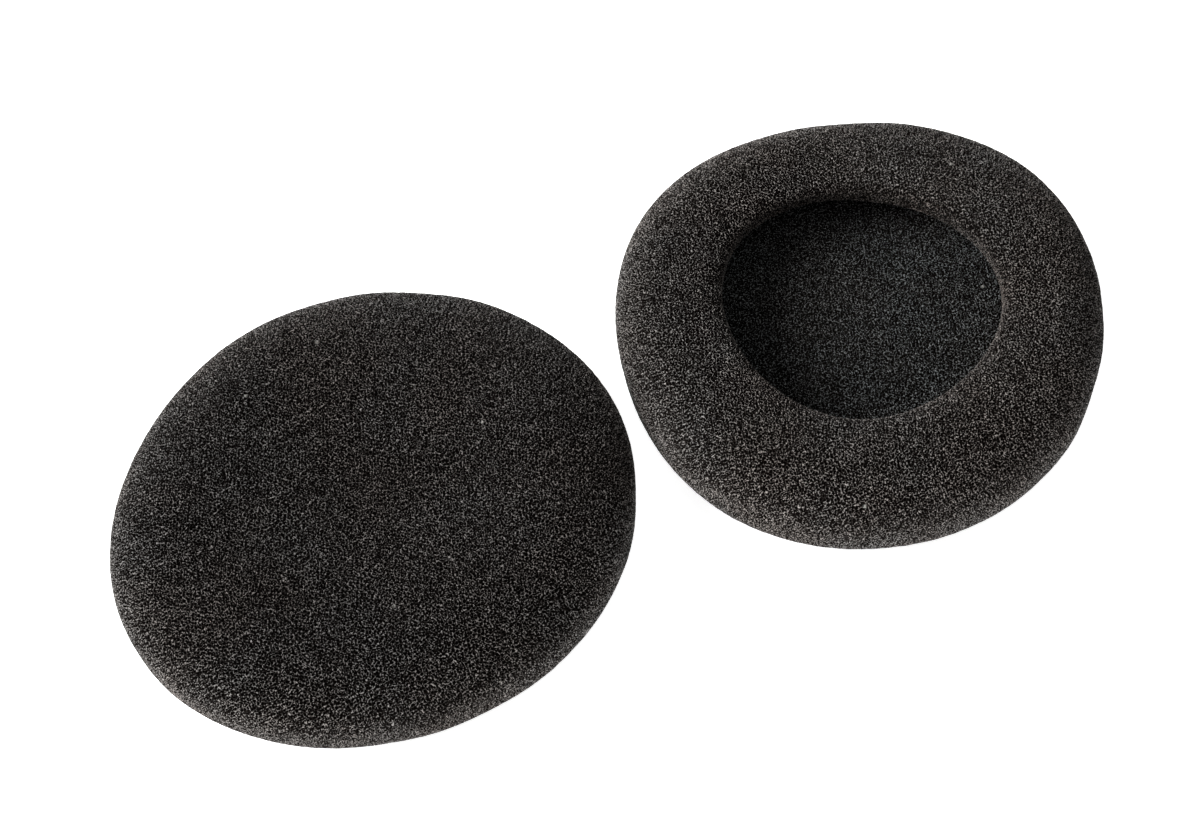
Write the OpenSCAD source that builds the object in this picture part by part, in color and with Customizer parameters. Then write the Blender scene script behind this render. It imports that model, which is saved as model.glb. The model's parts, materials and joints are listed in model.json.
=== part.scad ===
/* [Ear pads] */
// Outer diameter of an ear pad
pad_d = 60; // [50:1:70]
// Height of an ear pad from its ear face to the top of its ring
pad_h = 14; // [12:0.5:18]
// Radius of the round edge between the side and the ear face
face_round = 8; // [6:0.5:9]

/* [Pocket] */
// Diameter of the mouth that stretches over the earpiece
mouth_d = 33.6; // [28:0.2:38]
// Thickness of the foam between the pocket and the ear face
face_t = 6.4; // [5:0.2:6.6]
// Thickness of the lip around the mouth
lip_t = 3.2; // [2.4:0.2:3.4]
// Radius of the lip's rounded upper edge
lip_round = 1.4; // [0.8:0.2:1.8]
// How far the pocket reaches outwards under the lip
undercut = 4.5; // [3:0.5:5]

/* [Pair] */
// Gap between the two pads where they come closest
pair_gap = 3.6; // [1:0.2:20]
// Turn of the line through both pads' centres
pair_turn = 18.7; // [0:0.1:40]

/* [Hidden] */
pad_r = pad_d / 2;
ring_round = pad_h - face_round;
mouth_r = mouth_d / 2;
pocket_r = mouth_r + undercut;
pocket_h = pad_h - face_t - lip_t;
half_pitch = pad_r + pair_gap / 2;
cut_over = 1;
foam_charcoal = [0.17, 0.165, 0.16];
$fn = 96;

// Half section of the foam on one side of the pad's widest line, up to its flat
module side_half(radius) {
    square([pad_r - radius, radius]);
    intersection() {
        translate([pad_r - radius, 0])
            circle(r = radius);
        square([pad_r, radius]);
    }
}

// Half section of the foam before the pocket is cut: flat ear face at the bottom,
// flat ring at the top, and a side of two arcs that meet at its widest line
module blank_section() {
    translate([0, face_round])
        side_half(ring_round);
    translate([0, face_round])
        mirror([0, 1])
            side_half(face_round);
}

// Half section of the pocket, with a round outer edge under the lip
module pocket_section() {
    translate([0, face_t])
        square([pocket_r - pocket_h / 2, pocket_h]);
    translate([pocket_r - pocket_h / 2, face_t + pocket_h / 2])
        circle(r = pocket_h / 2);
}

// Half section of the mouth, flared by the lip's rounded upper edge
module mouth_section() {
    translate([0, face_t])
        square([mouth_r, pad_h]);
    difference() {
        translate([0, pad_h - lip_round])
            square([mouth_r + lip_round, lip_round + cut_over]);
        translate([mouth_r + lip_round, pad_h - lip_round])
            circle(r = lip_round);
    }
}

// One moulded foam ear pad, lying on its ear face with its mouth up
module ear_pad() {
    color(foam_charcoal)
        rotate_extrude()
            difference() {
                blank_section();
                pocket_section();
                mouth_section();
            }
}

// Left pad, turned over: it lies on its ring with its ear face up
module left_ear_pad() {
    rotate([0, 0, pair_turn])
        translate([-half_pitch, 0, pad_h])
            rotate([180, 0, 0])
                ear_pad();
}

// Right pad, lying on its ear face with its mouth up
module right_ear_pad() {
    rotate([0, 0, pair_turn])
        translate([half_pitch, 0, 0])
            ear_pad();
}

left_ear_pad();
right_ear_pad();
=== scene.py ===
"""Two loose foam ear pads of an office headset on a pale table: one lies face up, one mouth up."""

import json
import math

import bpy
import numpy as np
from mathutils import Matrix, Vector, noise


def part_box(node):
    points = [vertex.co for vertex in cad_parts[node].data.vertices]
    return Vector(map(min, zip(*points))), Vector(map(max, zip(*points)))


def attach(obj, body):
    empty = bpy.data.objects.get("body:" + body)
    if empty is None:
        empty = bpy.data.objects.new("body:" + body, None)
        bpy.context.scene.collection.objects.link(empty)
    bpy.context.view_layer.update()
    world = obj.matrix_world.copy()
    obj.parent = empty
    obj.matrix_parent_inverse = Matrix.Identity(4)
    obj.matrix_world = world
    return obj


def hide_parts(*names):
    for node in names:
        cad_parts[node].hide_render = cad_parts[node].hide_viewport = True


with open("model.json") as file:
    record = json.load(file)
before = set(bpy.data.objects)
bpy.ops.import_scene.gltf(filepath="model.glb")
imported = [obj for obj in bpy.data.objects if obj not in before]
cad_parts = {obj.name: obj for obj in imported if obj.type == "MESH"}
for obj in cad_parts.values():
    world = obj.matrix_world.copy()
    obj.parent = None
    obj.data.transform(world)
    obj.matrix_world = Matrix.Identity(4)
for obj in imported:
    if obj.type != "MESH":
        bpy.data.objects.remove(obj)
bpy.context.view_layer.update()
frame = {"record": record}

MM = 0.001

# Camera: where it looks on the table, how high it stands, how far it is, and how it is tipped
AIM = Vector((-2.6, 4.4, 0.0)) * MM
ELEVATION = math.radians(59.7)
DISTANCE = 238.4 * MM
ROLL = math.radians(-4.6)
LENS_MM = 57.0
SENSOR_MM = 36.0

# The moulding's sizes that the CAD nodes and the record give
MOUNTS = {m["name"]: m for m in frame["record"]["mounts"]}
OPENINGS = {o["name"]: o["box_m"] for o in frame["record"]["physics"]["openings"]}
LEFT_LOW, LEFT_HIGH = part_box("left_ear_pad")
RIGHT_LOW, RIGHT_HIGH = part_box("right_ear_pad")
PAD_R = (RIGHT_HIGH.x - RIGHT_LOW.x) / 2
PAD_H = RIGHT_HIGH.z
MOUTH_R = MOUNTS["right_mouth"]["dims"]["r_mm"] * MM
LAND_Z = MOUNTS["right_mouth"]["pos_m"][2]
LAND_H = MOUNTS["right_mouth"]["dims"]["length_mm"] * MM
OPENING_GAP = 0.1 * MM  # the record's box for the pocket keeps this far off its floor and ceiling
FLOOR_Z = OPENINGS["right_pad_pocket"][0][2] - OPENING_GAP
CEILING_Z = OPENINGS["right_pad_pocket"][1][2] + OPENING_GAP

# The rest of the section, mouth up: height of the widest line, radius of the ring's crest, reach of the
# pocket under the lip, radius of the lip's lower edge, and depth and radius of the dish in the ear face
WIDEST_Z = 8.0 * MM
CROWN_R = 22.5 * MM
UNDERCUT = 4.5 * MM
LIP_EDGE = 0.5 * MM
DISH = 1.8 * MM
DISH_R = 24.0 * MM

# Slack in telling mesh points apart: above or below the pocket's floor, inside or outside its reach
FLOOR_SLACK = 0.05 * MM
REACH_SLACK = 1.0 * MM

# How square the rounded stretches of the section are: 2 is an ellipse
FACE_BULGE = 3.5
SIDE_BULGE = 2.15
LIP_BULGE = 2.6

# How the soft pads lie out of round: (lobes, share of the radius, direction in degrees)
LEFT_RIM = [(2, 0.044, 21.0), (3, 0.009, -19.0), (4, 0.005, 35.0)]
RIGHT_RIM = [(2, 0.011, 32.0), (3, 0.018, 28.0), (4, 0.010, -43.0)]
MOUTH = [(2, 0.016, -4.0), (3, 0.029, 15.5)]

# Unevenness of the skin: (wavelength, height) of its swells and of its small bumps
SWELLS = (9.0 * MM, 0.20 * MM)
BUMPS = (0.8 * MM, 0.04 * MM)
BUMPS_OFFSET = 40.0  # how far along the noise the bumps are from the swells, so that the two don't match

# Distance between mesh points round a ring, and between rings
STEP = 0.33 * MM
RING_STEP = 0.87 * STEP

# Foam: size and depth of one cell, how far the skin stays off the table for its relief, size of the
# painted glints and of the tinted patches, a turn that keeps the cells' grid off the pads' axes, and how
# unevenly the cells lie, from 0 to 1
CELL = 0.36 * MM
PIT_DEPTH = 0.26 * MM
TABLE_GAP = 0.55 * PIT_DEPTH
GLINT = 0.16 * MM
PATCH = 11.0 * MM
GRID_TURN = (0.62, 0.43, 0.31)
UNEVEN = 0.7

# Colours that the foam is multiplied by: darker on the ear face, painted shade on the wall inside the
# mouth, and painted shade with a cooler tone in the pocket; and how far each takes to come in: inward
# from the rim, inward to the mouth, and down from the pocket's ceiling
EAR_FACE_TINT = (0.81, 0.81, 0.82, 1.0)
WALL_PAINTED_SHADE = (0.62, 0.59, 0.57, 1.0)
POCKET_SHADE_TINT = (0.85, 0.95, 1.00, 1.0)
EAR_FACE_EDGE = 6.0 * MM
WALL_WIDTH = 1.0 * MM
POCKET_EDGE = 0.8 * MM

# Flecks of pale lint: distance between them in the foam, their radius and their colour
LINT_GAP = 7.0 * MM
LINT_R = 0.32 * MM
LINT = (0.34, 0.33, 0.31, 1.0)

# Where the net of struts starts and is full, in cells from a cell's border, and which part of the noise
# leaves its struts dark and which gives them full painted glints
NET = (0.20, 0.02)
BRIGHT = (0.35, 0.68)

# Foam colours by how much of a strut shows: (share, linear red, green, blue)
# painted shade in the pores
PORE_SHADE = (0.0, 0.0025, 0.0016, 0.0011)
STRUT = (0.5, 0.0295, 0.0265, 0.0250)
# painted glints on the brightest struts
PAINTED_GLINT = (1.0, 0.252, 0.249, 0.245)

# Tints of the foam's patches by their noise: (noise, linear red, green, blue)
COOL_PATCH = (0.35, 0.97, 0.95, 0.93)
WARM_PATCH = (0.65, 1.0, 0.92, 0.87)

# The studio's sky: white up to a height and dimmer above the next, as (height, red, green, blue)
HORIZON = (0.03, 1.0, 1.0, 1.0)
OVERHEAD = (0.30, 0.36, 0.36, 0.36)

# Soft boxes: name, place in metres, width and height in metres, power in watts
SOFT_BOXES = [
    ("key", (-1.41, 0.20, 0.73), 1.1, 1.1, 67.0),
    ("low_back_fill", (-0.20, 1.20, 0.16), 0.5, 0.2, 14.0),
    ("low_front_fill", (-0.35, -1.45, 0.06), 0.8, 0.08, 26.0),
]


# ---------------------------------------------------------------- section of the moulding

def quarter(centre, across, up, start, bulge=2.0, points=60):
    """Quarter of a superellipse about centre, from angle start to start + 90 degrees."""
    angles = np.radians(np.linspace(start, start + 90.0, points))
    c, s = np.cos(angles), np.sin(angles)
    power = 2.0 / bulge
    r = centre[0] + across * np.sign(c) * np.abs(c) ** power
    z = centre[1] + up * np.sign(s) * np.abs(s) ** power
    return np.stack([r, z], axis=1)


def foam_section():
    """Closed half section, mouth up, from the middle of the dished face round to the pocket's floor."""
    lip_z = LAND_Z + LAND_H / 2
    pocket_round = (CEILING_Z - FLOOR_Z) / 2
    pocket_r = MOUTH_R + UNDERCUT
    face = quarter((0.0, WIDEST_Z), PAD_R, WIDEST_Z, -90.0, FACE_BULGE, points=240)
    inward = np.clip(1.0 - (face[:, 0] / DISH_R) ** 2, 0.0, 1.0)
    face[:, 1] += DISH * inward * inward
    side = quarter((CROWN_R, WIDEST_Z), PAD_R - CROWN_R, PAD_H - WIDEST_Z, 0.0, SIDE_BULGE)
    lip = quarter((CROWN_R, lip_z), CROWN_R - MOUTH_R, PAD_H - lip_z, 90.0, LIP_BULGE)
    edge = quarter((MOUTH_R + LIP_EDGE, CEILING_Z + LIP_EDGE), LIP_EDGE, LIP_EDGE, 180.0)
    above = quarter((pocket_r - pocket_round, CEILING_Z - pocket_round), pocket_round, pocket_round, 0.0)
    below = quarter((pocket_r - pocket_round, FLOOR_Z + pocket_round), pocket_round, pocket_round, -90.0)
    middle = np.array([[0.0, FLOOR_Z]])
    return np.concatenate([face, side[1:], lip[1:], edge, above[::-1], below[::-1], middle])


def evenly(section, step):
    """The section's points at equal steps along it."""
    length = np.concatenate([[0.0], np.cumsum(np.linalg.norm(np.diff(section, axis=0), axis=1))])
    count = int(round(length[-1] / step))
    at = np.linspace(0.0, length[-1], count + 1)
    return np.stack([np.interp(at, length, section[:, k]) for k in (0, 1)], axis=1)


# ---------------------------------------------------------------- even mesh of a turned shape

def ring_sizes(section, step):
    """How many mesh points each ring has: one at the axis, else one every step round it."""
    sizes = np.round(2.0 * math.pi * section[:, 0] / step).astype(int)
    sizes = np.maximum(sizes, 6)
    sizes[0] = sizes[-1] = 1
    return sizes


def join_rings(first, count, next_first, next_count):
    """Triangles between two neighbouring rings that need not have the same number of points."""
    faces = []
    i = j = 0
    while i < count or j < next_count:
        here = (i + 1) / count if i < count else 2.0
        there = (j + 1) / next_count if j < next_count else 2.0
        a = first + i % count
        b = next_first + j % next_count
        if here <= there and count > 1 or next_count == 1:
            faces.append((a, first + (i + 1) % count, b))
            i += 1
        else:
            faces.append((a, next_first + (j + 1) % next_count, b))
            j += 1
        if count == 1 and j == next_count or next_count == 1 and i == count:
            break
    return faces


def turned_mesh(section, step):
    """Points and triangles of the section turned about Z, evenly spaced everywhere."""
    sizes = ring_sizes(section, step)
    points, faces, starts = [], [], []
    for (r, z), count in zip(section, sizes):
        starts.append(sum(map(len, points)))
        angles = 2.0 * math.pi * np.arange(count) / count
        ring = np.stack([r * np.cos(angles), r * np.sin(angles), np.full(count, z)], axis=1)
        points.append(ring)
    for k in range(len(sizes) - 1):
        faces += join_rings(starts[k], sizes[k], starts[k + 1], sizes[k + 1])
    return np.concatenate(points), faces


# ---------------------------------------------------------------- soft shape

def lobed(angle, lobes):
    """Stretch in plan at each angle: a lobe is (how many, share of the radius, direction in degrees)."""
    stretch = np.ones(len(angle))
    for count, share, direction in lobes:
        stretch += share * np.cos(count * (angle - math.radians(direction)))
    return stretch


def out_of_round(points, rim_lobes, mouth_lobes, pocket_side):
    """Stretches the pad in plan, by the rim's lobes outside and the mouth's lobes round the pocket."""
    angle = np.arctan2(points[:, 1], points[:, 0])
    radius = np.hypot(points[:, 0], points[:, 1])
    outward = np.clip((radius - MOUTH_R) / (PAD_R - MOUTH_R), 0.0, 1.0)
    rim_share = np.where(pocket_side, outward * outward * (3.0 - 2.0 * outward), 1.0)
    stretch = rim_share * lobed(angle, rim_lobes) + (1.0 - rim_share) * lobed(angle, mouth_lobes)
    points[:, :2] *= stretch[:, None]


def waviness(points, wave, offset):
    """How far each point moves out of the surface, by smooth noise of that (wavelength, height)."""
    wavelength, height = wave
    shift = Vector((offset, 0.0, 0.0))
    return np.array([height * noise.noise(Vector(p) / wavelength + shift) for p in points])


def normals_of(points, faces):
    """Unit normal at each point."""
    f = np.array(faces)
    a, b, c = points[f[:, 0]], points[f[:, 1]], points[f[:, 2]]
    flat = np.cross(b - a, c - a)
    total = np.zeros_like(points)
    for k in range(3):
        np.add.at(total, f[:, k], flat)
    return total / np.linalg.norm(total, axis=1)[:, None]


def foam_shade_and_tint(points, pocket_side):
    """Colour that the foam is multiplied by: plain outside, darker on the ear face, painted shade on the
    mouth's wall and painted shade with a cooler tone in the pocket.
    """
    radius = np.hypot(points[:, 0], points[:, 1])
    # darker on the ear face, coming in from the rim
    face_share = np.clip((PAD_R - radius) / EAR_FACE_EDGE, 0.0, 1.0) * ~pocket_side
    # painted shade with a cooler tone in the pocket, coming in below its ceiling
    pocket_shade_share = np.clip((CEILING_Z - points[:, 2]) / POCKET_EDGE, 0.0, 1.0)
    pocket_shade_share *= pocket_side & (radius < MOUTH_R + UNDERCUT + REACH_SLACK)
    # painted shade on the mouth's inner wall, deepest at the mouth's edge
    wall_shade_share = np.clip((MOUTH_R + WALL_WIDTH - radius) / WALL_WIDTH, 0.0, 1.0)
    wall_shade_share *= pocket_side & (points[:, 2] > CEILING_Z)
    cast = np.ones((len(points), 4))
    cast += face_share[:, None] * (np.array(EAR_FACE_TINT) - 1.0)
    cast += wall_shade_share[:, None] * (np.array(WALL_PAINTED_SHADE) - 1.0)
    cast += pocket_shade_share[:, None] * (np.array(POCKET_SHADE_TINT) - 1.0)
    return cast


def foam_pad(name, centre, face_up, rim_lobes, mouth_lobes, seed, material):
    """One ear pad as a single foam skin, in its place on the table."""
    points, faces = turned_mesh(evenly(foam_section(), RING_STEP), STEP)
    normals = normals_of(points, faces)
    pocket_side = points[:, 2] > FLOOR_Z - FLOOR_SLACK
    cast = foam_shade_and_tint(points, pocket_side)
    swell = waviness(points, SWELLS, seed) + waviness(points, BUMPS, seed + BUMPS_OFFSET)
    points += normals * swell[:, None]
    if face_up:
        points[:, 1:] *= -1.0
        points[:, 2] += PAD_H
    out_of_round(points, rim_lobes, mouth_lobes, pocket_side)
    points[:, 2] += min(0.0, TABLE_GAP - points[:, 2].min())
    points[:, 2] = np.maximum(points[:, 2], TABLE_GAP)
    points += np.array([centre.x, centre.y, 0.0])
    mesh = bpy.data.meshes.new(name)
    mesh.from_pydata(points.tolist(), [], faces)
    shade = mesh.attributes.new("cast", "FLOAT_COLOR", "POINT")
    shade.data.foreach_set("color", cast.ravel())
    rest = mesh.attributes.new("rest", "FLOAT_VECTOR", "POINT")
    rest.data.foreach_set("vector", (points + seed * MM).ravel())
    mesh.shade_smooth()
    mesh.materials.append(material)
    pad = bpy.data.objects.new(name, mesh)
    bpy.context.scene.collection.objects.link(pad)
    fine = pad.modifiers.new("finer_when_rendered", "SUBSURF")
    fine.subdivision_type = "SIMPLE"
    fine.levels = 0
    fine.render_levels = 2
    return pad


# ---------------------------------------------------------------- materials

def node(tree, kind, **inputs):
    """Adds a shader node: each input is a value, or the output socket that feeds it."""
    made = tree.nodes.new("ShaderNode" + kind)
    for name, value in inputs.items():
        socket = made.inputs[name.replace("_", " ")]
        if isinstance(value, bpy.types.NodeSocket):
            tree.links.new(value, socket)
        else:
            socket.default_value = value
    return made


def voronoi(tree, feature, place, spacing):
    """Voronoi cells of that spacing, in metres; the output is the distance in cells."""
    cells = node(tree, "TexVoronoi", Scale=1.0 / spacing, Randomness=UNEVEN)
    cells.feature = feature
    tree.links.new(place, cells.inputs["Vector"])
    return cells.outputs["Distance"]


def smooth_step(tree, source, low, high):
    """0 below low and 1 above high, or the other way round where low is the greater."""
    step = node(tree, "MapRange", Value=source, From_Min=low, From_Max=high)
    step.interpolation_type = "SMOOTHSTEP"
    return step.outputs["Result"]


def ramp(tree, source, *stops):
    """Colour by value, where each stop is (value, linear red, green, blue)."""
    colours = node(tree, "ValToRGB", Fac=source)
    elements = colours.color_ramp.elements
    while len(elements) < len(stops):
        elements.new(1.0)
    for element, (value, *colour) in zip(elements, stops):
        element.position = value
        element.color = (*colour, 1.0)
    return colours.outputs["Color"]


def mixed(tree, blend, share, first, second):
    """Two colours blended; each, and the second's share, is a value or an output socket."""
    mix = node(tree, "Mix")
    mix.data_type = "RGBA"
    mix.blend_type = blend
    for socket, value in ((mix.inputs[0], share), (mix.inputs[6], first), (mix.inputs[7], second)):
        if isinstance(value, bpy.types.NodeSocket):
            tree.links.new(value, socket)
        else:
            socket.default_value = value
    return mix.outputs[2]


def foam_material():
    """Charcoal open-cell foam: pores in painted shade in a net of struts, of which some carry painted
    glints.
    """
    material = bpy.data.materials.new("charcoal_foam")
    material.use_nodes = True
    material.displacement_method = "DISPLACEMENT"
    tree = material.node_tree
    surface = tree.nodes["Principled BSDF"]
    surface.inputs["Roughness"].default_value = 0.65
    surface.inputs["Specular IOR Level"].default_value = 0.03
    surface.inputs["Sheen Weight"].default_value = 0.14
    surface.inputs["Sheen Roughness"].default_value = 0.25

    rest = node(tree, "Attribute")
    rest.attribute_name = "rest"
    place = node(tree, "Mapping", Vector=rest.outputs["Vector"], Rotation=GRID_TURN).outputs["Vector"]

    net = smooth_step(tree, voronoi(tree, "DISTANCE_TO_EDGE", place, CELL), *NET)
    # noise that picks the struts that get painted glints
    glints = node(tree, "TexNoise", Vector=place, Scale=1.0 / GLINT, Detail=0.0).outputs["Fac"]
    bright = smooth_step(tree, glints, *BRIGHT)
    struts = node(tree, "Math")
    struts.operation = "MULTIPLY"
    tree.links.new(net, struts.inputs[0])
    tree.links.new(bright, struts.inputs[1])
    foam = ramp(tree, struts.outputs[0], PORE_SHADE, STRUT, PAINTED_GLINT)

    patches = node(tree, "TexNoise", Vector=place, Scale=1.0 / PATCH, Detail=2.0).outputs["Fac"]
    tint = ramp(tree, patches, COOL_PATCH, WARM_PATCH)
    # the mesh's colour per point: darker on the ear face, painted shade on the mouth's wall and painted
    # shade with a cooler tone in the pocket
    cast = node(tree, "Attribute")
    cast.attribute_name = "cast"
    patched = mixed(tree, "MULTIPLY", 1.0, foam, tint)
    tinted = mixed(tree, "MULTIPLY", 1.0, patched, cast.outputs["Color"])
    fleck = LINT_R / LINT_GAP
    specks = smooth_step(tree, voronoi(tree, "F1", place, LINT_GAP), fleck, 0.5 * fleck)
    linted = mixed(tree, "MIX", specks, tinted, LINT)
    tree.links.new(linted, surface.inputs["Base Color"])

    relief = node(tree, "Displacement", Height=net, Midlevel=0.5, Scale=PIT_DEPTH)
    tree.links.new(relief.outputs["Displacement"], tree.nodes["Material Output"].inputs["Displacement"])
    fine_relief = node(tree, "Bump", Height=struts.outputs[0], Strength=0.5, Distance=PIT_DEPTH)
    tree.links.new(fine_relief.outputs["Normal"], surface.inputs["Normal"])
    return material


def floor_material():
    material = bpy.data.materials.new("pale_table")
    material.use_nodes = True
    surface = material.node_tree.nodes["Principled BSDF"]
    surface.inputs["Base Color"].default_value = (0.9, 0.9, 0.9, 1.0)
    surface.inputs["Roughness"].default_value = 0.9
    surface.inputs["Specular IOR Level"].default_value = 0.0
    surface.inputs["Emission Color"].default_value = (1.0, 1.0, 1.0, 1.0)
    surface.inputs["Emission Strength"].default_value = 0.8
    return material


# ---------------------------------------------------------------- camera, table and light

def make_camera():
    data = bpy.data.cameras.new("camera")
    data.lens = LENS_MM
    data.sensor_width = SENSOR_MM
    data.clip_start = 0.01
    camera = bpy.data.objects.new("camera", data)
    back = Vector((0.0, -math.cos(ELEVATION), math.sin(ELEVATION)))
    level = Vector((1.0, 0.0, 0.0))
    upright = level.cross(-back)
    right = math.cos(ROLL) * level + math.sin(ROLL) * upright
    up = math.cos(ROLL) * upright - math.sin(ROLL) * level
    turn = Matrix((right, up, back)).transposed().to_4x4()
    camera.matrix_world = Matrix.Translation(AIM + DISTANCE * back) @ turn
    bpy.context.scene.collection.objects.link(camera)
    bpy.context.scene.camera = camera


def make_table():
    size = 3.0
    mesh = bpy.data.meshes.new("table")
    corners = [(-size, -size, 0), (size, -size, 0), (size, size, 0), (-size, size, 0)]
    mesh.from_pydata(corners, [], [(0, 1, 2, 3)])
    mesh.materials.append(floor_material())
    table = bpy.data.objects.new("table", mesh)
    bpy.context.scene.collection.objects.link(table)


def soft_box(name, place, width, height, power):
    """A soft light at place, in metres, that faces the pads."""
    data = bpy.data.lights.new(name, "AREA")
    data.shape = "RECTANGLE"
    data.size = width
    data.size_y = height
    data.energy = power
    light = bpy.data.objects.new(name, data)
    light.location = place
    light.rotation_euler = (-Vector(place)).to_track_quat("-Z", "Y").to_euler()
    bpy.context.scene.collection.objects.link(light)


def make_sky():
    """A soft sky that is white down at the horizon, where it meets the table, and dimmer overhead."""
    world = bpy.data.worlds.new("studio")
    bpy.context.scene.world = world
    world.use_nodes = True
    tree = world.node_tree
    direction = node(tree, "TexCoord").outputs["Generated"]
    height = node(tree, "SeparateXYZ", Vector=direction).outputs["Z"]
    sky = ramp(tree, height, HORIZON, OVERHEAD)
    tree.links.new(sky, tree.nodes["Background"].inputs["Color"])
    tree.nodes["Background"].inputs["Strength"].default_value = 1.0


def make_light():
    make_sky()
    for box in SOFT_BOXES:
        soft_box(*box)


# ---------------------------------------------------------------- the scene

make_camera()
make_table()
make_light()
bpy.context.scene.view_settings.view_transform = "Standard"

foam = foam_material()
left_centre = (LEFT_LOW + LEFT_HIGH) / 2
right_centre = (RIGHT_LOW + RIGHT_HIGH) / 2
left_pad = foam_pad("left_foam_pad", left_centre, True, LEFT_RIM, MOUTH, 3.0, foam)
right_pad = foam_pad("right_foam_pad", right_centre, False, RIGHT_RIM, MOUTH, 11.0, foam)
stands_for = (
    (left_pad, "left_ear_pad", "left_pad"),
    (right_pad, "right_ear_pad", "right_pad"),
)

for pad, cad_node, body in stands_for:
    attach(pad, body)
    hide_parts(cad_node)
